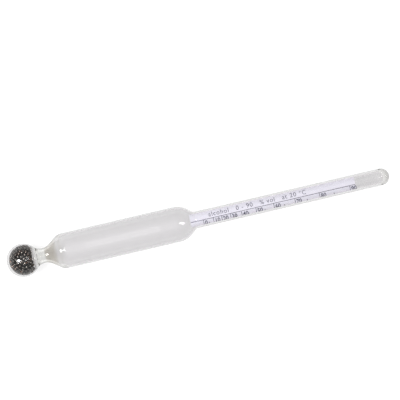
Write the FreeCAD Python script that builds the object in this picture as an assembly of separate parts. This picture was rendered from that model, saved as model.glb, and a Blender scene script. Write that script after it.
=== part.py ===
import FreeCAD, Part
import heapq
import itertools
import math
import os
import random

from FreeCAD import Vector

# An alcoholometer: a sealed glass float with a weighted bulb and a paper scale rolled inside its stem.
# It lies on its side. The axis runs along +X from the bulb to the tip, and +Z is up. The pieces are
# made about the X axis, their upper side towards +Y, and are stood up and moved together at the end.
# Sizes are in millimetres. A place "from the pole" is measured along the axis from the bulb's bottom.

# Outside of the glass
total_length = 180.0
bulb_radius = 7.62
neck_at = 17.05
neck_radius = 3.4
neck_flare = 6.0
lower_shoulder_angle = 37.0
lower_shoulder_round = 5.05
body_radius = 8.1
body_end = 79.8
upper_shoulder_round = 9.75
upper_shoulder_angle = 40.0
stem_flare = 2.75
stem_radius = 3.8

# Thickness of the glass
bulb_wall = 0.5
pole_extra_wall = 0.3
neck_wall = 1.2
body_wall = 0.55
stem_wall = 0.8
tip_wall = 2.1

# Ballast shot in the bulb, and the clear layer that holds it
shot_diameter = 1.5
shot_over_middle = 4.15
shot_seed = 7
shot_unevenness = 0.25
binder_thickness = 0.3
glass_clearance = 0.03

# Paper scale, rolled to spring out against the bore
paper_foot = 3.6
paper_short_of_tip = 16.0
paper_thickness = 0.12
paper_lap_angle = 60.0
paper_lap_gap = 0.03
paper_clearance = 0.05


class Profile:
    """A line of arcs and straights in the plane of the axis, each tangent to the one before it."""

    def __init__(self, along, heading):
        self.at = Vector(along, 0, 0)
        self.heading = heading
        self.edges = []

    def line(self, length):
        if length <= 0:
            return
        way = turned(Vector(1, 0, 0), self.heading)
        end = self.at + way * length
        self.edges.append(Part.LineSegment(self.at, end).toShape())
        self.at = end

    def arc(self, radius, turn):
        """Follow a circle while the heading changes by turn degrees, to the left if it is positive."""
        side = turned(Vector(1, 0, 0), self.heading + math.copysign(90, turn))
        centre = self.at + side * radius
        spoke = self.at - centre
        middle = centre + turned(spoke, turn / 2)
        end = centre + turned(spoke, turn)
        self.edges.append(Part.Arc(self.at, middle, end).toShape())
        self.at = end
        self.heading += turn

    def shoulder(self, radius, angle, first_round, second_round):
        """Go out or in to another radius by a cone of this angle, rounded at both of its ends."""
        rise = radius - self.at.y
        turn = math.copysign(angle, rise)
        first, cone, second = rounded_cone(abs(rise), angle, first_round, second_round)
        self.arc(first, turn)
        self.line(cone)
        self.arc(second, -turn)


def turned(vector, degrees):
    """The vector turned about the Z axis."""
    angle = math.radians(degrees)
    return Vector(
        vector.x * math.cos(angle) - vector.y * math.sin(angle),
        vector.x * math.sin(angle) + vector.y * math.cos(angle),
        0,
    )


def rounded_cone(rise, angle, first_round, second_round):
    """Radii of a shoulder's two rounds and the length of the cone's side that is left between them.

    The rounds shrink together where they would take more than the whole rise.
    """
    taken = (first_round + second_round) * (1 - math.cos(math.radians(angle)))
    fit = min(1.0, rise / taken)
    side = (rise - taken * fit) / math.sin(math.radians(angle))
    return first_round * fit, side, second_round * fit


def cavity_radius():
    """Inside radius of the bulb."""
    return bulb_radius - bulb_wall


def cavity_middle():
    """Centre of the bulb's hollow, from the pole. The glass is thickest at the pole."""
    return bulb_radius + pole_extra_wall


def bore_radius():
    """Inside radius of the stem."""
    return stem_radius - stem_wall


def bore_start():
    """Where the stem's bore reaches its own radius, from the pole."""
    rise = body_radius - body_wall - bore_radius()
    rounds = (upper_shoulder_round - body_wall, stem_flare + body_wall)
    first, side, second = rounded_cone(rise, upper_shoulder_angle, *rounds)
    angle = math.radians(upper_shoulder_angle)
    return body_end + (first + second) * math.sin(angle) + side * math.cos(angle)


def blown_form(middle, bulb, neck, body, stem, tip, neck_inset, body_inset):
    """A solid of revolution with the float's profile, as the glass's outside or as its hollow.

    middle and tip are places from the pole, bulb, neck, body and stem are radii, and the insets are
    how far this surface lies inside the glass's outside at the neck and at the body.
    """
    reach = neck_at - middle
    fillet = (reach**2 + neck**2 - bulb**2) / (2 * (bulb - neck))
    bend = math.degrees(math.asin(reach / (bulb + fillet)))
    profile = Profile(middle - bulb, 90)
    profile.arc(bulb, -90 - bend)
    profile.arc(fillet, bend)
    profile.shoulder(
        body, lower_shoulder_angle, neck_flare + neck_inset, lower_shoulder_round - body_inset
    )
    profile.line(body_end - profile.at.x)
    profile.shoulder(
        stem, upper_shoulder_angle, upper_shoulder_round - body_inset, stem_flare + body_inset
    )
    profile.line(tip - stem - profile.at.x)
    profile.arc(stem, -90)
    axis = Part.LineSegment(profile.at, Vector(middle - bulb, 0, 0)).toShape()
    face = Part.Face(Part.Wire(profile.edges + [axis]))
    return face.revolve(Vector(0, 0, 0), Vector(1, 0, 0), 360)


def glass_envelope():
    """The blown glass: one closed wall, thicker at the pole, the neck and the tip."""
    outside = blown_form(
        bulb_radius, bulb_radius, neck_radius, body_radius, stem_radius, total_length, 0, 0
    )
    hollow = blown_form(
        cavity_middle(),
        cavity_radius(),
        neck_radius - neck_wall,
        body_radius - body_wall,
        bore_radius(),
        total_length - tip_wall,
        neck_wall,
        body_wall,
    )
    return outside.cut(hollow)


def touching(first, second, third):
    """The two points at given distances from three centres. Each argument is a centre and its distance."""
    (a, reach_a), (b, reach_b), (c, reach_c) = first, second, third
    span = (b - a).Length
    along = (b - a) * (1 / span)
    to_c = c - a
    ahead = along.dot(to_c)
    aside = to_c - along * ahead
    width = aside.Length
    across = aside * (1 / width)
    x = (reach_a**2 - reach_b**2 + span**2) / (2 * span)
    y = (reach_a**2 - reach_c**2 + ahead**2 + width**2 - 2 * ahead * x) / (2 * width)
    depth = reach_a**2 - x**2 - y**2
    if depth < 0:
        return []
    foot = a + along * x + across * y
    rise = along.cross(across) * math.sqrt(depth)
    return [foot + rise, foot - rise]


def shot_centres():
    """Centres of the balls, poured into the bulb from the pole up to their level.

    The first three lie round the pole. Each later ball takes the lowest free place where it touches
    three others, or two and the glass, with a little chance in the order.
    """
    chance = random.Random(shot_seed)
    middle = Vector(cavity_middle(), 0, 0)
    reach = cavity_radius() - glass_clearance - shot_diameter / 2
    top = cavity_middle() + shot_over_middle - shot_diameter / 2
    slack = 1e-6
    balls = []
    places = []

    def free(point, others):
        return all((point - other).Length > shot_diameter - slack for other in others)

    def near(one, two):
        return (one - two).Length < 2 * shot_diameter

    def settle(ball):
        around = [other for other in balls if near(other, ball)]
        balls.append(ball)
        pairs = [((middle, reach), (other, shot_diameter)) for other in around]
        pairs += [
            ((one, shot_diameter), (two, shot_diameter))
            for one, two in itertools.combinations(around, 2)
            if near(one, two)
        ]
        for pair in pairs:
            for point in touching((ball, shot_diameter), *pair):
                inside = (point - middle).Length < reach + slack and point.x < top
                if inside and free(point, around):
                    order = point.x + chance.uniform(0, shot_unevenness)
                    heapq.heappush(places, (order, len(balls), len(places), point))

    seat = shot_diameter / math.sqrt(3)
    depth = math.sqrt(reach**2 - seat**2)
    for turn in (0, 120, 240):
        spoke = turned(Vector(seat, 0, 0), turn)
        settle(Vector(cavity_middle() - depth, spoke.x, spoke.y))
    while places:
        point = heapq.heappop(places)[-1]
        if free(point, balls):
            settle(point)
    return balls


def small_ball(diameter):
    """A ball of eight flat faces with its corners on the round one: a ring of four and two poles."""
    ring = [turned(Vector(diameter / 2, 0, 0), turn) for turn in range(0, 360, 90)]
    faces = []
    for pole in (Vector(0, 0, diameter / 2), Vector(0, 0, -diameter / 2)):
        for one, two in zip(ring, ring[1:] + ring[:1]):
            faces.append(Part.Face(Part.makePolygon([one, two, pole, one])))
    return Part.Solid(Part.Shell(faces))


def ballast_shot():
    """The poured balls, each a solid of its own."""
    ball = small_ball(shot_diameter)
    balls = []
    for centre in shot_centres():
        copy = ball.copy()
        copy.translate(centre)
        balls.append(copy)
    return Part.Compound(balls)


def shot_binder():
    """The clear layer over the shot, a slice of cone that meets the glass all round."""
    reach = cavity_radius() - glass_clearance
    low = shot_over_middle + glass_clearance
    high = low + binder_thickness
    rims = [math.sqrt(reach**2 - height**2) for height in (low, high)]
    foot = Vector(cavity_middle() + low, 0, 0)
    return Part.makeCone(*rims, binder_thickness, foot, Vector(1, 0, 0))


def spiral(turns, inset):
    """Tangent arcs in the XY plane, one for each radius and angle in turns, drawn inside by the inset."""
    centre = Vector(0, 0, 0)
    spoke = Vector(0, -1, 0)
    last_radius = turns[0][0]
    arcs = []
    for radius, angle in turns:
        centre = centre + spoke * (last_radius - radius)
        points = [centre + turned(spoke, angle * share) * (radius - inset) for share in (0, 0.5, 1)]
        arcs.append(Part.Arc(*points).toShape())
        spoke = turned(spoke, angle)
        last_radius = radius
    return arcs


def paper_scale():
    """A strip rolled once round with a lap below: a spiral of half circles about two centres."""
    outer = bore_radius() - paper_clearance
    step = (paper_thickness + paper_lap_gap) / 2
    turns = [(outer, 180), (outer - step, 180), (outer - 2 * step, paper_lap_angle)]
    outside = spiral(turns, 0)
    inside = spiral(turns, paper_thickness)
    ends = []
    for arc, vertex in ((0, 0), (-1, -1)):
        corners = [side[arc].Vertexes[vertex].Point for side in (outside, inside)]
        ends.append(Part.LineSegment(*corners).toShape())
    section = Part.Face(Part.Wire(Part.__sortEdges__(outside + inside + ends)))
    foot = bore_start() - paper_foot
    roll = section.extrude(Vector(0, 0, total_length - paper_short_of_tip - foot))
    roll.rotate(Vector(0, 0, 0), Vector(0, 1, 0), 90)
    roll.translate(Vector(foot, 0, 0))
    return roll


def main():
    pieces = {
        "glass_envelope": glass_envelope(),
        "ballast_shot": ballast_shot(),
        "shot_binder": shot_binder(),
        "paper_scale": paper_scale(),
    }
    os.makedirs("parts", exist_ok=True)
    for name, shape in pieces.items():
        shape.rotate(Vector(0, 0, 0), Vector(1, 0, 0), 90)
        shape.translate(Vector(-total_length / 2, 0, body_radius))
        shape.exportStep(f"parts/{name}.step")
        print(f"{name}: {len(shape.Solids)} solids, {shape.Volume:.1f} mm3, valid {shape.isValid()}")


main()
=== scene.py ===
"""Looks of a glass alcoholometer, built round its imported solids.

The float lies along +X with its bulb at -X. Every length is in metres and every angle in degrees.
A place "from the pole" is measured along the axis from the bulb's bottom.
"""

import math

import bmesh
import bpy
import numpy as np
from bpy.props import FloatProperty, FloatVectorProperty, IntProperty, PointerProperty, StringProperty
from mathutils import Matrix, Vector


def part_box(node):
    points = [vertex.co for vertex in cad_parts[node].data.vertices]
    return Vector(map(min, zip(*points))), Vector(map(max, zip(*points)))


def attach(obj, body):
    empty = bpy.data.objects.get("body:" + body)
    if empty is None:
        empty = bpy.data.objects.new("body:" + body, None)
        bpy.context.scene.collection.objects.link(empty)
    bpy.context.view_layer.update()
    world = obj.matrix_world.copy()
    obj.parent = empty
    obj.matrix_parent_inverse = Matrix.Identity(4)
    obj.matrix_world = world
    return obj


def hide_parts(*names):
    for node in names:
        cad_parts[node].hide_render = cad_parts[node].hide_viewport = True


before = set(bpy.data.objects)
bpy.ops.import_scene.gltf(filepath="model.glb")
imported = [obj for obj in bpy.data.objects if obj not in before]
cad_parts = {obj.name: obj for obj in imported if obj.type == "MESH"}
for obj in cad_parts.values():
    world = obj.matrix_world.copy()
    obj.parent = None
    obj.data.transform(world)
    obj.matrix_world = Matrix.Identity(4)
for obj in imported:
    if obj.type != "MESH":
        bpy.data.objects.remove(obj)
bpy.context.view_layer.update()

bl_info = {
    "name": "Alcoholometer",
    "version": (1, 0, 0),
    "blender": (4, 5, 0),
    "location": "3D View > Sidebar > Alcoholometer",
    "description": "Glass, ballast, rolled scale and studio of a glass alcoholometer",
    "category": "Object",
}

MM = 0.001
LOWEST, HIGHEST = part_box("glass_envelope")
POLE = LOWEST.x
AXIS_HEIGHT = (LOWEST.z + HIGHEST.z) / 2
TOTAL_LENGTH = HIGHEST.x - LOWEST.x
BODY_RADIUS = (HIGHEST.z - LOWEST.z) / 2
PAPER_FOOT, PAPER_END = (corner.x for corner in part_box("paper_scale"))
BINDER_FOOT, BINDER_TOP = (corner.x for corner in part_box("shot_binder"))

# How finely curved pieces are cut: degrees from one row of points to the next, or a number of rings
PAPER_STEP = 3.0
INK_STEP = 4.0
RIM_RINGS = 7
FACE_RINGS = 12

# Heights at which a line of text of size 1 is cut, so that it can bend round the paper
TEXT_CUTS = np.linspace(-0.2, 0.8, 11)

# Glossy depth over which a ray has been turned back several times inside a wall
TRAPPED = 2.5

BLACK = (0.0, 0.0, 0.0)
WHITE = (1.0, 1.0, 1.0)

# Strength of spirit in per cent by volume, and its density at 20 degrees in kilograms per cubic metre
STRENGTHS = np.arange(0, 101, 10)
DENSITIES = np.array(
    [998.20, 984.71, 973.56, 962.21, 948.05, 930.14, 909.15, 885.56, 859.27, 829.18, 789.24]
)


def length(name, description, default):
    """A length that a user would change."""
    return FloatProperty(name=name, description=description, default=default, min=0, unit="LENGTH")


def number(name, description, default):
    """A plain number, such as a strength, a share or an angle in degrees."""
    return FloatProperty(name=name, description=description, default=default)


def colour(name, description, default):
    """A colour, as linear red, green and blue."""
    return FloatVectorProperty(
        name=name, description=description, default=default, size=3, min=0, max=1, subtype="COLOR"
    )


def grey(shade):
    """A colour with this red, green and blue."""
    return (shade,) * 3


def opaque(shade):
    """A colour with its full alpha."""
    return (*shade, 1.0)


def times(shade, share):
    """A colour times a number."""
    return [part * share for part in shade]


class GlassSettings(bpy.types.PropertyGroup):
    """Outside, wall and tint of the blown glass. The tint holds painted light and painted shade."""

    bulb_radius: length("Bulb radius", "Outside radius of the bulb", 7.62 * MM)
    neck_at: length("Neck", "Narrowest place of the neck, from the pole", 17.05 * MM)
    neck_radius: length("Neck radius", "Outside radius of the neck", 3.4 * MM)
    neck_flare: length("Neck flare", "Hollow round from the neck to the lower cone", 6.0 * MM)
    lower_angle: number("Lower shoulder", "Angle of the lower cone to the axis", 37.0)
    lower_round: length("Lower round", "Round from the lower cone to the body", 5.05 * MM)
    body_end: length("Body end", "Where the straight body ends, from the pole", 79.8 * MM)
    upper_round: length("Upper round", "Round from the body to the upper cone", 9.75 * MM)
    upper_angle: number("Upper shoulder", "Angle of the upper cone to the axis", 40.0)
    stem_flare: length("Stem flare", "Hollow round from the upper cone to the stem", 2.75 * MM)
    stem_radius: length("Stem radius", "Outside radius of the stem", 3.8 * MM)
    bulb_wall: length("Bulb wall", "Thickness of the bulb's glass", 0.5 * MM)
    pole_extra: length("Extra at the pole", "What the pole's glass has over the bulb's", 0.3 * MM)
    neck_wall: length("Neck wall", "Thickness of the neck's glass", 1.2 * MM)
    body_wall: length("Body wall", "Thickness of the body's glass", 0.55 * MM)
    stem_wall: length("Stem wall", "Thickness of the stem's glass", 0.8 * MM)
    tip_wall: length("Tip wall", "Thickness of the glass at the sealed tip", 2.1 * MM)
    round_step: number("Step", "Angle between two rings of points on a round", 2.5)
    turns: IntProperty(name="Points round", description="Points in each ring", default=128, min=8)
    refraction: number("Refraction", "Index of refraction of the glass", 1.5)
    tint: colour("Tint", "What two surfaces of the glass let through", (0.869, 0.862, 0.871))
    # Painted light: a lighter tint from just over the shot to just past the neck, where the glass would
    # otherwise render darker.
    clear_tint: colour("Clear tint", "The same between the shot and the neck", (0.96, 0.96, 0.95))
    # A darker, browner tint for a band just past the neck.
    neck_tint: colour("Neck tint", "The same where the neck was drawn", (0.76, 0.74, 0.71))
    # Where the painted light starts and ends, and how far it fades in.
    clear_below: length("Clear start", "Start of the clear tint, down from the neck", 3.24 * MM)
    clear_above: length("Clear end", "End of the clear tint, up from the neck", 0.54 * MM)
    clear_fade: length("Clear fade", "How far the clear tint takes to come, over the shot", 1.26 * MM)
    # Where that darker, browner band starts and ends, and how far it fades out.
    drawn_start: length("Drawn start", "Start of the neck's tint, up from the neck", 1.44 * MM)
    drawn_end: length("Drawn end", "End of the neck's tint, up from the neck", 5.04 * MM)
    drawn_fade: length("Drawn fade", "How far the neck's tint takes to go", 1.8 * MM)
    # Painted shade: the tint darkens where the glass is seen at a flat angle, towards its edges.
    flat_tint: number("Flat tint", "Share of the tint left at a flat angle", 0.93)
    flat_from: number("Flat from", "Start of the flat tint, 0 straight on and 1 at the edge", 0.12)
    flat_to: number("Flat to", "Where the flat tint is full, on the same measure", 0.3)
    depth_tint: colour("Depth tint", "What a millimetre of the glass lets through", (0.955, 0.955, 0.95))


class BallastSettings(bpy.types.PropertyGroup):
    """The poured shot and the clear layer that holds it."""

    shot_diameter: length("Shot", "Diameter of one ball", 1.5 * MM)
    cad_faces: IntProperty(name="CAD faces", description="Flat faces of each packed ball", default=8)
    meridians: IntProperty(name="Meridians", description="Points round one ball", default=9)
    rings: IntProperty(name="Rings", description="Rings of one ball between its poles", default=5)
    seed: IntProperty(name="Seed", description="Seed of the balls' shades", default=7)
    dullest: number("Dullest ball", "Shade of the dullest ball, as a share of the steel's", 0.7)
    roughness: number("Roughness", "Roughness of the smoothest ball", 0.28)
    # The steel's darkness also stands as painted shade on the balls' sides, between the balls.
    steel: colour("Steel", "Colour of a dull ball", (0.06, 0.055, 0.049))
    tarnish: colour("Tarnish", "Colour of a tarnished ball", (0.1, 0.05, 0.03))
    # Painted highlight: the side of each ball that faces the glass gets this lighter colour; the next three
    # numbers place it.
    worn: colour("Worn steel", "Colour of a ball where it rubbed on the glass", (0.35, 0.335, 0.305))
    worn_from: number("Worn from", "Start of the wear, towards the glass in a ball's radii", 0.5)
    worn_bend: number("Worn bend", "Where the wear starts to rise fast, on the same measure", 0.85)
    worn_share: number("Worn share", "Wear there, as a share of the wear nearest to the glass", 0.25)
    edge: colour("Edge", "What a ball reflects at a flat angle", (0.24, 0.21, 0.18))
    meniscus: length("Meniscus", "How far the clear layer climbs the glass", 0.1 * MM)
    clearance: length("Clearance", "Gap between the clear layer and the glass", 0.03 * MM)
    resin: colour("Clear layer", "What the clear layer lets through", (0.86, 0.84, 0.78))
    resin_mottle: number("Layer's mottle", "Its darkest spot, as a share of its colour", 0.94)


class ScaleSettings(bpy.types.PropertyGroup):
    """The rolled paper and what is printed on it."""

    paper_radius: length("Roll radius", "Outside radius of the roll", 2.95 * MM)
    paper_thickness: length("Paper", "Thickness of the paper", 0.12 * MM)
    lap_angle: number("Lap", "How far the paper laps over itself, below", 60.0)
    lap_gap: length("Lap gap", "Gap between the two layers of the lap", 0.03 * MM)
    zero_at: length("Zero mark", "Place of the mark for water, from the pole", 92.3 * MM)
    last_strength: IntProperty(name="Last mark", description="Strength at the last mark", default=90)
    datum_turn: number("Datum turn", "Turn of the long line from the top, towards -Y", 13.0)
    tick_end: number("Long ticks end", "Turn where the ticks of ten end", 128.0)
    five_start: number("Middle ticks start", "Turn where the ticks of five start", 45.0)
    one_start: number("Short ticks start", "Turn where the ticks of one start", 92.0)
    ladder_end: number("Ladder end", "Turn where the ticks of one and five end", 120.0)
    line_width: length("Line width", "Width of the long line and the ticks of ten", 0.25 * MM)
    five_width: length("Middle line width", "Width of the ticks of five", 0.325 * MM)
    fine_width: length("Fine line width", "Width of the ticks of one", 0.1 * MM)
    numeral_turn: number("Numeral turn", "Turn of the numerals' middle line", 46.0)
    numeral_size: length("Numeral size", "Height of the numerals' type", 3.3 * MM)
    numeral_spacing: number("Numeral spacing", "Spacing of a numeral's digits", 1.0)
    numeral_width: number("Numeral width", "Width of a numeral, as a share of its type's", 0.78)
    numeral_weight: number("Numeral weight", "What its strokes gain, as a share of its height", 0.02)
    numeral_gap: length("Numeral gap", "From a tick to its numeral", 0.5 * MM)
    heading: StringProperty(
        name="Heading",
        description="Substance, range, unit and temperature",
        default="alcohol   0 - 90   % vol   at 20 °C",
    )
    heading_at: length("Heading", "Start of the heading, from the pole", 95.0 * MM)
    heading_turn: number("Heading turn", "Turn of the heading's middle line", -23.0)
    heading_size: length("Heading size", "Height of the heading's type", 2.9 * MM)
    heading_spacing: number("Heading spacing", "Spacing of the heading's letters", 1.15)
    heading_width: number("Heading width", "Width of a letter, as a share of its type's", 1.0)
    heading_weight: number("Heading weight", "What its strokes gain, as a share of its height", 0.0)
    ink_gap: length("Ink gap", "Gap between the paper and the ink", 0.006 * MM)
    ink_thickness: length("Ink", "Thickness of the ink", 0.008 * MM)
    paper: colour("Paper", "Colour of the paper", (0.87, 0.86, 0.95))
    paper_mottle: number("Paper's mottle", "Its darkest spot, as a share of its colour", 0.96)
    ink: colour("Ink", "Colour of the ink", (0.05, 0.05, 0.09))
    ink_mottle: number("Ink's mottle", "Its palest spot, as a multiple of its colour", 1.8)


class StudioSettings(bpy.types.PropertyGroup):
    """Camera, floor and room.

    A rise is 0 for a level direction and 1 straight up. A lean is 0 for a direction square to the
    float's axis and 1 along it.
    """

    view_width: length("View width", "Width of the picture at the float", 183.7 * MM)
    axis_rise: number("Axis rise", "Angle of the float's axis in the picture", 13.14)
    centre_along: length("Centre along", "Picture's middle, towards the tip from the float's", 2.9 * MM)
    centre_aside: length("Centre aside", "Picture's middle, towards +Y from the axis", 8.5 * MM)
    camera_height: length("Camera height", "Height of the camera", 0.6)
    floor_reach: length("Floor", "Half the floor's side", 4.0)
    floor_shade: number("Floor", "Grey of the floor where it lights the float", 0.8)
    floor_glow: number("Floor's light", "What the floor shines by itself where it is seen", 0.72)
    floor_under: number("Floor's shadow", "Grey under that light, which keeps the shadow", 0.3)
    floor_mirrored: number("Mirrored floor", "What the glass reflects of the floor", 0.5)
    room_light: number("Room light", "Strength of the light from all round", 0.83)
    wall_top: number("Wall top", "Rise up to which the walls are white", 0.06)
    upper_from: number("Upper room from", "Rise from which the upper room is seen", 0.2)
    upper_to: number("Upper room to", "Rise up to which the upper room is seen", 0.7)
    ceiling_from: number("Ceiling from", "Rise from which the ceiling is seen", 0.95)
    upper_shade: number("Upper room", "Shade of the upper room", 0.4)
    ceiling_shade: number("Ceiling", "Shade of the ceiling", 0.85)
    strip_half: number("Strip", "Lean up to which the glass reflects the whole room", 0.05)
    strip_end: number("Strip's end", "Lean from which it reflects a dim room alone", 0.15)
    dim_room: number("Dim room", "Shade of the dim room", 0.3)


class Socket:
    """One output in a shader tree. Python's operators on it add Math nodes."""

    def __init__(self, shader, output):
        self.shader = shader
        self.output = output

    def of(self, name):
        """Another output of the same node."""
        return Socket(self.shader, self.output.node.outputs[name])

    def math(self, operation, *values):
        """A Math node on one value or two."""
        return self.shader.add("ShaderNodeMath", {"operation": operation}, dict(enumerate(values)))

    def __add__(self, other):
        return self.math("ADD", self, other)

    def __sub__(self, other):
        return self.math("SUBTRACT", self, other)

    def __mul__(self, other):
        return self.math("MULTIPLY", self, other)

    def __rsub__(self, other):
        return self.math("SUBTRACT", other, self)

    __radd__ = __add__
    __rmul__ = __mul__

    def larger(self, other):
        """The larger of two values."""
        return self.math("MAXIMUM", self, other)

    def unsigned(self):
        """This value without its sign."""
        return self.math("ABSOLUTE", self)

    def over(self, limit):
        """1 where this value is over the limit, and otherwise 0."""
        return self.math("GREATER_THAN", self, limit)


class Shader:
    """A material's or the world's node tree, emptied and built up by add."""

    def __init__(self, owner):
        owner.use_nodes = True
        self.tree = owner.node_tree
        self.tree.nodes.clear()

    def add(self, kind, settings, inputs, output=0):
        """A node with these settings, then these values or links at its inputs. Gives one output."""
        node = self.tree.nodes.new(kind)
        for name, value in settings.items():
            if name == "stops":
                self.set_stops(node.color_ramp, value)
            else:
                setattr(node, name, value)
        for name, value in inputs.items():
            if isinstance(value, Socket):
                self.tree.links.new(value.output, node.inputs[name])
            else:
                node.inputs[name].default_value = value
        return Socket(self, node.outputs[output]) if node.outputs else None

    @staticmethod
    def set_stops(ramp, stops):
        """Give a ramp these stops, each a place and a colour."""
        while len(ramp.elements) < len(stops):
            ramp.elements.new(1.0)
        for element, (place, shade) in zip(ramp.elements, stops):
            element.position = place
            element.color = opaque(shade)

    def place(self):
        """Object coordinates."""
        return self.add("ShaderNodeTexCoord", {}, {}, "Object")

    def noise(self, scale, detail=3.0, stretch=(1.0, 1.0, 1.0)):
        """Noise over the object's own coordinates, about 0.5, squeezed by a factor along each axis."""
        place = self.add("ShaderNodeMapping", {}, {"Vector": self.place(), "Scale": stretch})
        return self.add("ShaderNodeTexNoise", {}, {"Vector": place, "Scale": scale, "Detail": detail})

    def blend(self, factor, first, second):
        """A colour between two colours."""
        first, second = (shade if isinstance(shade, Socket) else opaque(shade) for shade in (first, second))
        return self.add("ShaderNodeMix", {"data_type": "RGBA"}, {0: factor, 6: first, 7: second}, 2)

    def ramp(self, value, stops):
        """A colour from stops, each a place and a colour."""
        return self.add("ShaderNodeValToRGB", {"stops": stops}, {"Fac": value})

    def scaled(self, shade, factor):
        """A colour times a number."""
        return self.add("ShaderNodeVectorMath", {"operation": "SCALE"}, {0: shade, "Scale": factor})

    def between(self, value, start, end):
        """0 up to the start, 1 from the end on, and even between them."""
        return self.add("ShaderNodeMapRange", {}, {"Value": value, "From Min": start, "From Max": end})

    def attribute(self, name):
        """A number that each point of the mesh has."""
        return self.add("ShaderNodeAttribute", {"attribute_name": name}, {}, "Fac")

    def bump(self, height, strength, distance):
        """The normal over small heights: a height of 1 stands for the distance."""
        inputs = {"Height": height, "Strength": strength, "Distance": distance}
        return self.add("ShaderNodeBump", {}, inputs, "Normal")

    def surface(self, inputs):
        """A Principled surface."""
        return self.add("ShaderNodeBsdfPrincipled", {}, inputs)

    def diffuse(self, shade):
        """A dull surface."""
        return self.add("ShaderNodeBsdfDiffuse", {}, {"Color": opaque(shade)})

    def glow(self, strength):
        """A surface that shines white."""
        return self.add("ShaderNodeEmission", {}, {"Color": opaque(WHITE), "Strength": strength})

    def mixed(self, factor, first, second):
        """A shader between two shaders."""
        return self.add("ShaderNodeMixShader", {}, {0: factor, 1: first, 2: second})

    def finish(self, kind="ShaderNodeOutputMaterial", **results):
        """The output node, fed with these results."""
        self.add(kind, {}, results)


def material(name):
    """An empty material and its shader."""
    made = bpy.data.materials.new(name)
    return made, Shader(made)


def see_through(shader, surface, tint):
    """A clear surface that lets lamplight straight through, so that what it holds is lit.

    A wall has two surfaces, and each passes the square root of the tint. A ray that was turned back
    several times inside the wall leaves it too.
    """
    ray = shader.add("ShaderNodeLightPath", {}, {}, "Is Shadow Ray")
    trapped = ray.of("Glossy Depth").over(TRAPPED)
    straight = ray.larger(ray.of("Is Diffuse Ray")).larger(trapped)
    passed = [math.sqrt(share) for share in tint]
    window = shader.add("ShaderNodeBsdfTransparent", {}, {"Color": opaque(passed)})
    return shader.mixed(straight, surface, window)


def tint_stops(glass):
    """Tints at shares of the float's length: painted light from the shot to the neck, then a darker, browner
    band.
    """
    stops = [
        (-glass.clear_below - glass.clear_fade, glass.tint),
        (-glass.clear_below, glass.clear_tint),
        (glass.clear_above, glass.clear_tint),
        (glass.drawn_start, glass.neck_tint),
        (glass.drawn_end, glass.neck_tint),
        (glass.drawn_end + glass.drawn_fade, glass.tint),
    ]
    return [((glass.neck_at + place) / TOTAL_LENGTH, tint) for place, tint in stops]


def clear_glass(glass):
    """Clear glass with the faint lines of drawn tube, its tint with painted shade at a flat angle and
    painted light near the neck.
    """
    made, shader = material("clear_glass")
    along = shader.add("ShaderNodeSeparateXYZ", {}, {0: shader.place()}, "X")
    straight_on = shader.ramp(shader.between(along, POLE, POLE + TOTAL_LENGTH), tint_stops(glass))
    facing = shader.add("ShaderNodeLayerWeight", {}, {}, "Facing")
    # Painted shade towards the glass's edges as seen, by how flat the angle is.
    flat = shader.between(facing, glass.flat_from, glass.flat_to)
    lines = shader.noise(900.0, detail=2.0, stretch=(0.06, 1.0, 1.0))
    surface = shader.surface(
        {
            "Base Color": shader.blend(flat, straight_on, shader.scaled(straight_on, glass.flat_tint)),
            "Roughness": 0.0,
            "IOR": glass.refraction,
            "Transmission Weight": 1.0,
            "Normal": shader.bump(lines, strength=0.05, distance=0.05 * MM),
        }
    )
    depth = shader.add(
        "ShaderNodeVolumeAbsorption", {}, {"Color": opaque(glass.depth_tint), "Density": 1 / MM}
    )
    shader.finish(Surface=see_through(shader, surface, glass.tint), Volume=depth)
    return made


def clear_resin(ballast):
    """The clear layer over the shot, slightly yellow."""
    made, shader = material("clear_resin")
    tint = shader.blend(shader.noise(300.0), ballast.resin, times(ballast.resin, ballast.resin_mottle))
    surface = shader.surface(
        {"Base Color": tint, "Roughness": 0.05, "IOR": 1.45, "Transmission Weight": 1.0}
    )
    shader.finish(Surface=see_through(shader, surface, ballast.resin))
    return made


def shot_metal(ballast):
    """Dull steel with tarnished patches, its own shade on each ball and a painted highlight towards the
    glass.
    """
    made, shader = material("shot_metal")
    shade = shader.attribute("ball_shade")
    patches = shader.ramp(shader.noise(260.0, detail=2.0), [(0.4, BLACK), (0.55, WHITE)])
    metal = shader.blend(patches, ballast.steel, ballast.tarnish)
    dull = shader.blend(shade, metal, times(ballast.steel, ballast.dullest))
    # Painted highlight on each ball's side towards the glass, over the dark steel that is partly painted
    # shade.
    painted_cap_stops = [(ballast.worn_from, BLACK), (ballast.worn_bend, grey(ballast.worn_share)), (1.0, WHITE)]
    worn = shader.ramp(shader.attribute("ball_cap"), painted_cap_stops)
    base = shader.blend(worn, dull, ballast.worn)
    grain = shader.noise(4000.0, detail=4.0)
    surface = shader.surface(
        {
            "Base Color": base,
            "Metallic": 1.0,
            "Specular Tint": opaque(ballast.edge),
            "Roughness": worn * 0.2 + shade * 0.06 + grain * 0.06 + ballast.roughness,
            "Normal": shader.bump(grain, strength=0.1, distance=0.01 * MM),
        }
    )
    shader.finish(Surface=surface)
    return made


def scale_paper(scale):
    """White paper with a trace of blue, mottled by its fibres."""
    made, shader = material("scale_paper")
    fibres = shader.noise(2500.0, detail=6.0, stretch=(0.5, 1.0, 1.0))
    mottle = fibres * 0.6 + shader.noise(350.0) * 0.4
    surface = shader.surface(
        {
            "Base Color": shader.blend(mottle, times(scale.paper, scale.paper_mottle), scale.paper),
            "Roughness": 0.85 + fibres * 0.1,
            "Specular IOR Level": 0.3,
            "Normal": shader.bump(fibres, strength=0.3, distance=0.02 * MM),
        }
    )
    shader.finish(Surface=surface)
    return made


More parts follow.
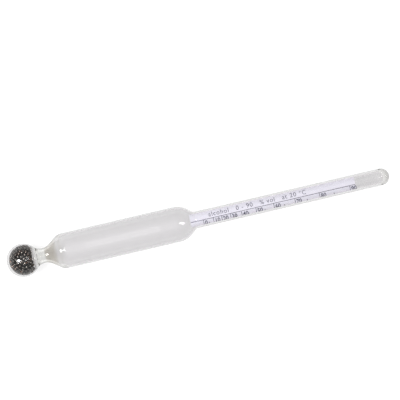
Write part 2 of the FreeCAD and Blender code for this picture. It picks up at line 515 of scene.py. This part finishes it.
def scale_ink(scale):
    """Printer's ink, a little uneven where it sank into the paper."""
    made, shader = material("scale_ink")
    spread = shader.noise(3000.0, detail=4.0)
    base = shader.blend(spread, scale.ink, times(scale.ink, scale.ink_mottle))
    shader.finish(Surface=shader.surface({"Base Color": base, "Roughness": 0.6 + spread * 0.2}))
    return made


class Outline:
    """Points of a profile as distance along the axis and radius, each run tangent to the one before."""

    def __init__(self, along, heading, step):
        self.at = np.array([along, 0.0])
        self.heading = heading
        self.step = step
        self.runs = [self.at[None]]

    def line(self, span):
        """Straight on for a span, as its end point alone."""
        if span > 0:
            self.keep(self.at + span * direction(self.heading)[None])

    def arc(self, radius, turn):
        """Round a circle: centre plus radius times the direction, for even angles up to the turn."""
        count = max(1, math.ceil(abs(turn) / self.step))
        side = math.copysign(90, turn)
        centre = self.at + radius * direction(self.heading + side)
        angles = self.heading - side + np.linspace(0, turn, count + 1)[1:]
        self.keep(centre + radius * direction(angles))
        self.heading += turn

    def keep(self, points):
        """Add these points and go on from the last one."""
        self.runs.append(points)
        self.at = points[-1]

    def shoulder(self, radius, angle, first, second):
        """To another radius by a cone between two rounds, which shrink together where they must."""
        rise = radius - self.at[1]
        slope = math.radians(angle)
        taken = (first + second) * (1 - math.cos(slope))
        fit = min(1.0, abs(rise) / taken)
        turn = math.copysign(angle, rise)
        self.arc(first * fit, turn)
        self.line((abs(rise) - taken * fit) / math.sin(slope))
        self.arc(second * fit, -turn)

    def points(self):
        """All points so far."""
        return np.concatenate(self.runs)


def direction(angles):
    """Unit vectors in the plane of the profile, the cosine and the sine of each angle."""
    turns = np.radians(angles)
    return np.stack([np.cos(turns), np.sin(turns)], axis=-1)


def blown_outline(glass, middle, bulb, neck, body, stem, tip, neck_inset, body_inset):
    """Profile of the glass's outside or of its hollow, from the pole to the tip.

    middle and tip are places from the pole, bulb, neck, body and stem are radii, and the insets are
    how far this surface lies inside the glass's outside at the neck and at the body. The round between
    bulb and neck has its centre over the neck, as far from the bulb's centre as both radii together.
    """
    reach = glass.neck_at - middle
    fillet = (reach**2 + neck**2 - bulb**2) / (2 * (bulb - neck))
    bend = math.degrees(math.asin(reach / (bulb + fillet)))
    outline = Outline(middle - bulb, 90, glass.round_step)
    outline.arc(bulb, -90 - bend)
    outline.arc(fillet, bend)
    outline.shoulder(
        body, glass.lower_angle, glass.neck_flare + neck_inset, glass.lower_round - body_inset
    )
    outline.line(glass.body_end - outline.at[0])
    outline.shoulder(
        stem, glass.upper_angle, glass.upper_round - body_inset, glass.stem_flare + body_inset
    )
    outline.line(tip - stem - outline.at[0])
    outline.arc(stem, -90)
    return outline.points()


def outside_of(glass):
    """Profile of the glass's outside."""
    return blown_outline(
        glass, glass.bulb_radius, glass.bulb_radius, glass.neck_radius, BODY_RADIUS, glass.stem_radius,
        TOTAL_LENGTH, neck_inset=0, body_inset=0,
    )


def hollow_of(glass):
    """Profile of the glass's hollow. The glass is thickest at the pole, the neck and the tip."""
    return blown_outline(
        glass, glass.bulb_radius + glass.pole_extra, glass.bulb_radius - glass.bulb_wall,
        glass.neck_radius - glass.neck_wall, BODY_RADIUS - glass.body_wall,
        glass.stem_radius - glass.stem_wall, TOTAL_LENGTH - glass.tip_wall,
        neck_inset=glass.neck_wall, body_inset=glass.body_wall,
    )


def lathe(profile, turns):
    """Points and faces of a profile turned about the axis, closed at both ends.

    A point is (pole + along, radius times the sine, axis height + radius times the cosine) of an even
    turn. The profile's two ends lie on the axis and are one point each.
    """
    around = direction(np.arange(turns) * 360 / turns)
    along, radius = profile[1:-1, 0], profile[1:-1, 1]
    rings = np.empty((len(along), turns, 3))
    rings[..., 0] = (POLE + along)[:, None]
    rings[..., 1] = radius[:, None] * around[:, 1]
    rings[..., 2] = AXIS_HEIGHT + radius[:, None] * around[:, 0]
    poles = np.array([[POLE + profile[end, 0], 0, AXIS_HEIGHT] for end in (0, -1)])
    return closed_rings(rings, poles)


def closed_rings(rings, poles):
    """Points and faces of rings in a row, closed by a fan to one point at each end."""
    count, turns = rings.shape[:2]
    index = np.arange(count * turns).reshape(count, turns)
    following = np.roll(index, -1, axis=1)
    sides = np.stack([index[:-1], index[1:], following[1:], following[:-1]], axis=-1).reshape(-1, 4)
    first = np.stack([index[0], following[0], np.full(turns, count * turns)], axis=-1)
    last = np.stack([following[-1], index[-1], np.full(turns, count * turns + 1)], axis=-1)
    points = np.concatenate([rings.reshape(-1, 3), poles])
    return points, sides, np.concatenate([first, last])


def slab(upper, lower):
    """Points and faces of a closed solid between two like grids of points, joined round their rims."""
    rows, columns = upper.shape[:2]
    index = np.arange(rows * columns).reshape(rows, columns)
    top = np.stack([index[:-1, :-1], index[1:, :-1], index[1:, 1:], index[:-1, 1:]], axis=-1)
    top = top.reshape(-1, 4)
    bottom = top[:, ::-1] + rows * columns
    rim = np.concatenate([index[0], index[1:, -1], index[-1, -2::-1], index[-2:0:-1, 0]])
    following = np.roll(rim, -1)
    sides = np.stack([rim, following, following + rows * columns, rim + rows * columns], axis=-1)
    points = np.concatenate([upper.reshape(-1, 3), lower.reshape(-1, 3)])
    return points, np.concatenate([top, bottom, sides])


def joined(parts):
    """Several sets of points and faces as one. The faces' numbers are moved on past earlier points."""
    starts = np.cumsum([0] + [len(points) for points, _ in parts[:-1]])
    points = np.concatenate([points for points, _ in parts])
    return points, np.concatenate([faces + start for (_, faces), start in zip(parts, starts)])


def listed(*groups):
    """The faces of several arrays as one list."""
    return [face for group in groups for face in group.tolist()]


def piece(name, points, faces, finish, slot, *nodes):
    """An object from points and faces that rides on the float and stands for these nodes."""
    mesh = bpy.data.meshes.new(name)
    mesh.from_pydata(points.tolist(), [], faces)
    return dressed(mesh, finish, slot, *nodes)


def dressed(mesh, finish, slot, *nodes):
    """The object of a finished mesh, with its material and its place in the frame."""
    mesh.validate()
    mesh.shade_smooth()
    mesh.materials.append(finish)
    made = bpy.data.objects.new(mesh.name, mesh)
    bpy.context.scene.collection.objects.link(made)
    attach(made, "root")
    if nodes:
        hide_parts(*nodes)
    return made


class ALCOHOLOMETER_OT_glass(bpy.types.Operator):
    """Blow the glass as two turned surfaces, its outside and its hollow"""

    bl_idname = "alcoholometer.blow_glass"
    bl_label = "Blow the glass"

    def execute(self, context):
        glass = context.scene.alcoholometer_glass
        points, sides, fans = lathe(outside_of(glass), glass.turns)
        hollow_points, hollow_sides, hollow_fans = lathe(hollow_of(glass), glass.turns)
        inner = [group[:, ::-1] + len(points) for group in (hollow_sides, hollow_fans)]
        faces = listed(sides, fans, *inner)
        points = np.concatenate([points, hollow_points])
        piece("glass", points, faces, clear_glass(glass), "clear_glass", "glass_envelope")
        return {"FINISHED"}


class ALCOHOLOMETER_OT_shot(bpy.types.Operator):
    """Put a round ball at the middle of each packed ball of shot"""

    bl_idname = "alcoholometer.pour_shot"
    bl_label = "Pour the shot"

    def execute(self, context):
        glass = context.scene.alcoholometer_glass
        ballast = context.scene.alcoholometer_ballast
        centres = packed_centres(ballast.cad_faces)
        points, sides, fans = round_ball(ballast)
        moved = centres[:, None] + points @ outward_axes(glass, centres)
        starts = np.arange(len(centres))[:, None, None] * len(points)
        faces = listed(*((starts + group).reshape(-1, group.shape[1]) for group in (sides, fans)))
        shot = piece("shot", moved.reshape(-1, 3), faces, shot_metal(ballast), "shot_metal", "ballast_shot")
        shades = np.random.default_rng(ballast.seed).random(len(centres), np.float32)
        # Height of each point towards the glass, in the ball's radii, which places the painted highlight.
        caps = np.tile(points[:, 2] * 2 / ballast.shot_diameter, len(centres))
        for name, values in (("ball_shade", np.repeat(shades, len(points))), ("ball_cap", caps)):
            attribute = shot.data.attributes.new(name, "FLOAT", "POINT")
            attribute.data.foreach_set("value", values.astype(np.float32))
        return {"FINISHED"}


def packed_centres(cad_faces):
    """Middle of each packed ball: the mean of its triangles' corners, which come ball by ball."""
    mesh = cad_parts["ballast_shot"].data
    places = np.empty(len(mesh.vertices) * 3, np.float32)
    mesh.vertices.foreach_get("co", places)
    corners = np.empty(len(mesh.loops), np.int32)
    mesh.loops.foreach_get("vertex_index", corners)
    return places.reshape(-1, 3)[corners].reshape(-1, cad_faces * 3, 3).mean(axis=1)


def outward_axes(glass, centres):
    """Three axes for each ball, the last one straight out from the middle of the bulb's hollow.

    The first is the cross product of the last with the frame's axis that it is least along, and the
    second is the cross product of the other two.
    """
    out = centres - np.array([POLE + glass.bulb_radius + glass.pole_extra, 0, AXIS_HEIGHT])
    out /= np.linalg.norm(out, axis=1, keepdims=True)
    first = np.cross(out, np.eye(3)[np.abs(out).argmin(axis=1)])
    first /= np.linalg.norm(first, axis=1, keepdims=True)
    return np.stack([first, np.cross(out, first), out], axis=1)


def round_ball(ballast):
    """A ball about the origin: radius times (cosine of the latitude times the meridian, its sine)."""
    latitudes = direction(np.linspace(90, -90, ballast.rings + 2))
    around = direction(np.arange(ballast.meridians) * 360 / ballast.meridians)
    rings = np.empty((ballast.rings, ballast.meridians, 3))
    rings[..., :2] = latitudes[1:-1, :1, None] * around
    rings[..., 2] = latitudes[1:-1, 1:]
    radius = ballast.shot_diameter / 2
    poles = np.array([[0.0, 0.0, 1.0], [0.0, 0.0, -1.0]])
    return closed_rings(rings * radius, poles * radius)


class ALCOHOLOMETER_OT_binder(bpy.types.Operator):
    """Lay the clear layer over the shot, with a rim that climbs the glass"""

    bl_idname = "alcoholometer.lay_binder"
    bl_label = "Lay the clear layer"

    def execute(self, context):
        glass = context.scene.alcoholometer_glass
        ballast = context.scene.alcoholometer_ballast
        profile = binder_profile(glass, ballast)
        points, sides, fans = lathe(profile, glass.turns // 2)
        piece("clear_layer", points, listed(sides, fans), clear_resin(ballast), "clear_resin", "shot_binder")
        return {"FINISHED"}


def binder_profile(glass, ballast):
    """The layer's lower face is flat, and its upper face dips from its rim by the fourth power."""
    reach = glass.bulb_radius - glass.bulb_wall - ballast.clearance
    middle = glass.bulb_radius + glass.pole_extra
    foot = BINDER_FOOT - POLE
    rim = BINDER_TOP - POLE + ballast.meniscus
    edge = np.linspace(foot, rim, RIM_RINGS)
    side = np.stack([edge, np.sqrt(reach**2 - (edge - middle) ** 2)], axis=-1)
    shares = np.linspace(1, 0, FACE_RINGS + 1)[1:, None]
    face = np.concatenate([rim - ballast.meniscus * (1 - shares**4), shares * side[-1, 1]], axis=-1)
    return np.concatenate([[[foot, 0.0]], side, face])


class ALCOHOLOMETER_OT_paper(bpy.types.Operator):
    """Roll the paper strip to a tube with its lap below"""

    bl_idname = "alcoholometer.roll_paper"
    bl_label = "Roll the paper"

    def execute(self, context):
        scale = context.scene.alcoholometer_scale
        count = math.ceil((360 + scale.lap_angle) / PAPER_STEP) + 1
        turns = np.linspace(-180, 180 + scale.lap_angle, count)
        along = np.array([PAPER_FOOT, PAPER_END])
        upper = rolled(scale, along[:, None], turns, 0.0)
        lower = rolled(scale, along[:, None], turns, -scale.paper_thickness)
        points, faces = slab(upper, lower)
        roll = piece("paper_roll", points, faces.tolist(), scale_paper(scale), "scale_paper", "paper_scale")
        roll.data.set_sharp_from_angle(angle=math.radians(40))
        return {"FINISHED"}


def rolled(scale, along, turns, out):
    """Points on the rolled strip, out above its outer face.

    A turn is counted from the top towards -Y. A point is (along, minus the radius times the turn's
    sine, its centre's height plus the radius times the turn's cosine). The strip goes up on the +Y side
    about the axis. Each half circle after that is a step smaller, and its centre a step off the last.
    """
    along, turns = np.broadcast_arrays(along, np.asarray(turns, float))
    halves = np.floor((turns + 180) / 180).clip(0, None)
    step = (scale.paper_thickness + scale.lap_gap) / 2
    radius = scale.paper_radius - halves * step + out
    lift = np.where(halves % 2 == 1, step, 0.0)
    angles = np.radians(turns)
    return np.stack([along, -radius * np.sin(angles), AXIS_HEIGHT + lift + radius * np.cos(angles)], axis=-1)


class ALCOHOLOMETER_OT_print(bpy.types.Operator):
    """Print the long line, the ticks, the numerals and the heading on the rolled paper"""

    bl_idname = "alcoholometer.print_scale"
    bl_label = "Print the scale"

    def execute(self, context):
        glass = context.scene.alcoholometer_glass
        scale = context.scene.alcoholometer_scale
        ink = scale_ink(scale)
        strengths = np.arange(0, scale.last_strength + 1)
        places = mark_places(outside_of(glass), scale, strengths)
        points, faces = joined(scale_lines(scale, strengths, places))
        piece("scale_lines", points, faces.tolist(), ink, "scale_paper")
        tens = strengths % 10 == 0
        small = scale.numeral_size, scale.numeral_spacing, scale.numeral_width, scale.numeral_weight
        labels = [
            (str(strength), place + scale.numeral_gap, scale.numeral_turn, *small)
            for strength, place in zip(strengths[tens], places[tens])
        ]
        large = scale.heading_size, scale.heading_spacing, scale.heading_width, scale.heading_weight
        labels.append((scale.heading, POLE + scale.heading_at, scale.heading_turn, *large))
        dressed(lettering(scale, labels), ink, "scale_paper").data.shade_flat()
        return {"FINISHED"}


def mark_places(outside, scale, strengths):
    """Where the liquid's surface crosses the stem at each strength.

    The float displaces its own weight, so the volume under its surface is the volume at the zero mark
    times water's density over the liquid's. The volume is summed up along the outside's profile, and
    the densities between the given ones lie on a smooth curve through them.
    """
    along, radius = outside.T
    slices = np.diff(along) * math.pi * (radius[1:] ** 2 + radius[1:] * radius[:-1] + radius[:-1] ** 2) / 3
    volume = np.concatenate([[0.0], np.cumsum(slices)])
    at_zero = np.interp(scale.zero_at, along, volume)
    density = np.polynomial.Polynomial.fit(STRENGTHS, DENSITIES, deg=7)(strengths)
    return POLE + np.interp(at_zero * DENSITIES[0] / density, volume, along)


def scale_lines(scale, strengths, places):
    """The long line and a tick for each strength, as curved strips of ink."""
    half = scale.line_width / 2
    spread = math.degrees(half / scale.paper_radius)
    upper_edge, lower_edge = scale.datum_turn - spread, scale.datum_turn + spread
    strips = [ink_strip(scale, PAPER_FOOT + half, PAPER_END - half, upper_edge, lower_edge)]
    for strength, place in zip(strengths, places):
        if strength % 10 == 0:
            start, end, width = lower_edge, scale.tick_end, scale.line_width
        elif strength % 5 == 0:
            start, end, width = scale.five_start, scale.ladder_end, scale.five_width
        else:
            start, end, width = scale.one_start, scale.ladder_end, scale.fine_width
        strips.append(ink_strip(scale, place - width / 2, place + width / 2, start, end))
    return strips


def ink_strip(scale, start, end, first_turn, last_turn):
    """A thin curved strip of ink between two places along the axis and two turns."""
    count = max(2, math.ceil((last_turn - first_turn) / INK_STEP) + 1)
    along = np.array([start, end])[:, None]
    turns = np.linspace(first_turn, last_turn, count)
    upper = rolled(scale, along, turns, scale.ink_gap + scale.ink_thickness)
    return slab(upper, rolled(scale, along, turns, scale.ink_gap))


def lettering(scale, labels):
    """One mesh of all the labels, each wrapped round the paper.

    A label is its text, place, turn, size, spacing, width and weight. A letter's place in its line,
    times the width, lies along the axis. Its height over the line's middle is an arc on the paper, so
    its turn is that height over the roll's radius.
    """
    letters = bmesh.new()
    for text, place, turn, size, spacing, width, weight in labels:
        flat = flat_text(text, scale.ink_thickness / size, spacing, weight)
        corners = np.empty(len(flat.vertices) * 3, np.float32)
        flat.vertices.foreach_get("co", corners)
        across, up, out = corners.reshape(-1, 3).astype(float).T * size
        up -= (up.min() + up.max()) / 2
        turns = turn - np.degrees(up / scale.paper_radius)
        lift = scale.ink_gap + scale.ink_thickness / 2 + out
        wrapped = rolled(scale, place + across * width, turns, lift)
        flat.vertices.foreach_set("co", wrapped.astype(np.float32).ravel())
        letters.from_mesh(flat)
        bpy.data.meshes.remove(flat)
    mesh = bpy.data.meshes.new("scale_lettering")
    letters.to_mesh(mesh)
    letters.free()
    return mesh


def flat_text(text, thickness, spacing, weight):
    """A line of text of size 1, closed and cut into rows, its strokes grown by the weight."""
    font = bpy.data.curves.new("label", "FONT")
    font.body = text
    font.extrude = thickness / 2
    font.space_character = spacing
    font.offset = weight
    font.resolution_u = 3
    label = bpy.data.objects.new("label", font)
    bpy.context.scene.collection.objects.link(label)
    bpy.context.view_layer.update()
    mesh = bpy.data.meshes.new_from_object(label.evaluated_get(bpy.context.evaluated_depsgraph_get()))
    bpy.data.objects.remove(label)
    shape = bmesh.new()
    shape.from_mesh(mesh)
    bmesh.ops.remove_doubles(shape, verts=shape.verts, dist=1e-5)
    bmesh.ops.recalc_face_normals(shape, faces=shape.faces)
    for height in TEXT_CUTS:
        parts = [*shape.verts, *shape.edges, *shape.faces]
        bmesh.ops.bisect_plane(shape, geom=parts, plane_co=(0, height, 0), plane_no=(0, 1, 0))
    shape.to_mesh(mesh)
    shape.free()
    return mesh


class ALCOHOLOMETER_OT_stage(bpy.types.Operator):
    """Set the floor, the lamps, the light of the room and the camera"""

    bl_idname = "alcoholometer.set_stage"
    bl_label = "Set the stage"

    def execute(self, context):
        studio = context.scene.alcoholometer_studio
        lay_floor(studio)
        light_room(context.scene, studio)
        lamp(
            "bulb_box", (-0.084, -0.02), distance=0.6, size=(0.23, 0.23), radiance=20.0, tilt=34, lean=-6,
            roll=32,
        )
        lamp("tip_box", (0.03, -0.01), distance=0.6, size=(0.16, 0.12), radiance=5.0, tilt=-20, lean=-4)
        lamp("ceiling", (-0.035, 0.0), distance=0.65, size=(0.054, 0.45), radiance=0.45)
        place_camera(context.scene, studio)
        context.scene.view_settings.view_transform = "Standard"
        return {"FINISHED"}


def seen_directly(shader):
    """1 for what the camera sees straight, in a reflection or through glass, and otherwise 0."""
    ray = shader.add("ShaderNodeLightPath", {}, {}, "Is Camera Ray")
    return ray.larger(ray.of("Is Glossy Ray")).larger(ray.of("Is Transmission Ray"))


def mirrored(shader):
    """1 for what an outer surface reflects, and 0 for what is seen straight or through glass.

    A ray through glass is also a glossy one, and so is one turned back inside a wall, so both are
    taken off.
    """
    ray = shader.add("ShaderNodeLightPath", {}, {}, "Is Glossy Ray")
    return ray - ray.of("Is Transmission Ray").larger(ray.of("Glossy Depth").over(TRAPPED))


def lay_floor(studio):
    """A wide white floor. Where it is seen it shines by itself, and its own shade keeps the shadow."""
    made, shader = material("white_floor")
    under = shader.diffuse(grey(studio.floor_under))
    bright = shader.add("ShaderNodeAddShader", {}, {0: under, 1: shader.glow(studio.floor_glow)})
    seen = shader.mixed(mirrored(shader), bright, shader.glow(studio.floor_mirrored))
    dull = shader.diffuse(grey(studio.floor_shade))
    shader.finish(Surface=shader.mixed(seen_directly(shader), dull, seen))
    reach = studio.floor_reach
    corners = [(-reach, -reach, 0), (reach, -reach, 0), (reach, reach, 0), (-reach, reach, 0)]
    mesh = bpy.data.meshes.new("floor")
    mesh.from_pydata(corners, [], [(0, 1, 2, 3)])
    mesh.materials.append(made)
    floor = bpy.data.objects.new("floor", mesh)
    bpy.context.scene.collection.objects.link(floor)


def light_room(scene, studio):
    """White walls up to a low height, a dimmer upper room and its ceiling.

    Dull surfaces are lit evenly instead. The float's straight sides reflect only what is square to its
    axis. Its shoulders and ends reflect the rest, and there the room is dim, so that they look nearly
    as plain as the sides.
    """
    world = bpy.data.worlds.new("room")
    shader = Shader(world)
    heading = shader.add("ShaderNodeTexCoord", {}, {}, "Generated")
    height = shader.add("ShaderNodeSeparateXYZ", {}, {0: heading}, "Z")
    stops = [
        (studio.wall_top, WHITE),
        (studio.upper_from, grey(studio.upper_shade)),
        (studio.upper_to, grey(studio.upper_shade)),
        (studio.ceiling_from, grey(studio.ceiling_shade)),
    ]
    backdrop = shader.ramp(height, stops)
    off_strip = shader.between(height.of("X").unsigned(), studio.strip_half, studio.strip_end)
    seen = shader.blend(mirrored(shader) * off_strip, backdrop, grey(studio.dim_room))
    shade = shader.blend(seen_directly(shader), grey(studio.room_light), seen)
    background = shader.add("ShaderNodeBackground", {}, {"Color": shade, "Strength": 1.0})
    shader.finish("ShaderNodeOutputWorld", Surface=background)
    scene.world = world


def lamp(name, target, distance, size, radiance, tilt=0, lean=0, roll=0):
    """A soft box that faces a target on the axis's height, with a power of radiance times pi times area.

    It is tilted from straight above towards the bulb, leans to -Y and is rolled about its own line.
    """
    light = bpy.data.lights.new(name, "AREA")
    light.shape = "RECTANGLE"
    light.size, light.size_y = size
    light.energy = radiance * math.pi * size[0] * size[1]
    box = bpy.data.objects.new(name, light)
    turn = Matrix.Rotation(math.radians(lean), 4, "X") @ Matrix.Rotation(math.radians(-tilt), 4, "Y")
    turn = turn @ Matrix.Rotation(math.radians(roll), 4, "Z")
    foot = Matrix.Translation((*target, AXIS_HEIGHT))
    box.matrix_world = foot @ turn @ Matrix.Translation((0, 0, distance))
    box.visible_camera = False
    bpy.context.scene.collection.objects.link(box)


def place_camera(scene, studio):
    """A camera without perspective, straight above, turned so that the axis rises to the right."""
    data = bpy.data.cameras.new("camera")
    data.type = "ORTHO"
    data.ortho_scale = studio.view_width
    camera = bpy.data.objects.new("camera", data)
    camera.location = (studio.centre_along, studio.centre_aside, studio.camera_height)
    camera.rotation_euler = (0, 0, -math.radians(studio.axis_rise))
    scene.collection.objects.link(camera)
    scene.camera = camera


class ALCOHOLOMETER_PT_panel(bpy.types.Panel):
    """Steps that dress the float, in their order"""

    bl_label = "Alcoholometer"
    bl_idname = "ALCOHOLOMETER_PT_panel"
    bl_space_type = "VIEW_3D"
    bl_region_type = "UI"
    bl_category = "Alcoholometer"

    def draw(self, context):
        for step in OPERATORS:
            self.layout.operator(step.bl_idname)


OPERATORS = (
    ALCOHOLOMETER_OT_glass,
    ALCOHOLOMETER_OT_shot,
    ALCOHOLOMETER_OT_binder,
    ALCOHOLOMETER_OT_paper,
    ALCOHOLOMETER_OT_print,
    ALCOHOLOMETER_OT_stage,
)
SETTINGS = {
    "alcoholometer_glass": GlassSettings,
    "alcoholometer_ballast": BallastSettings,
    "alcoholometer_scale": ScaleSettings,
    "alcoholometer_studio": StudioSettings,
}


def register():
    for kind in (*SETTINGS.values(), *OPERATORS, ALCOHOLOMETER_PT_panel):
        bpy.utils.register_class(kind)
    for name, kind in SETTINGS.items():
        setattr(bpy.types.Scene, name, PointerProperty(type=kind))


def unregister():
    for name in SETTINGS:
        delattr(bpy.types.Scene, name)
    for kind in (ALCOHOLOMETER_PT_panel, *OPERATORS, *SETTINGS.values()):
        bpy.utils.unregister_class(kind)


def main():
    register()
    for step in OPERATORS:
        group, name = step.bl_idname.split(".")
        getattr(getattr(bpy.ops, group), name)()


if __name__ == "__main__":
    main()
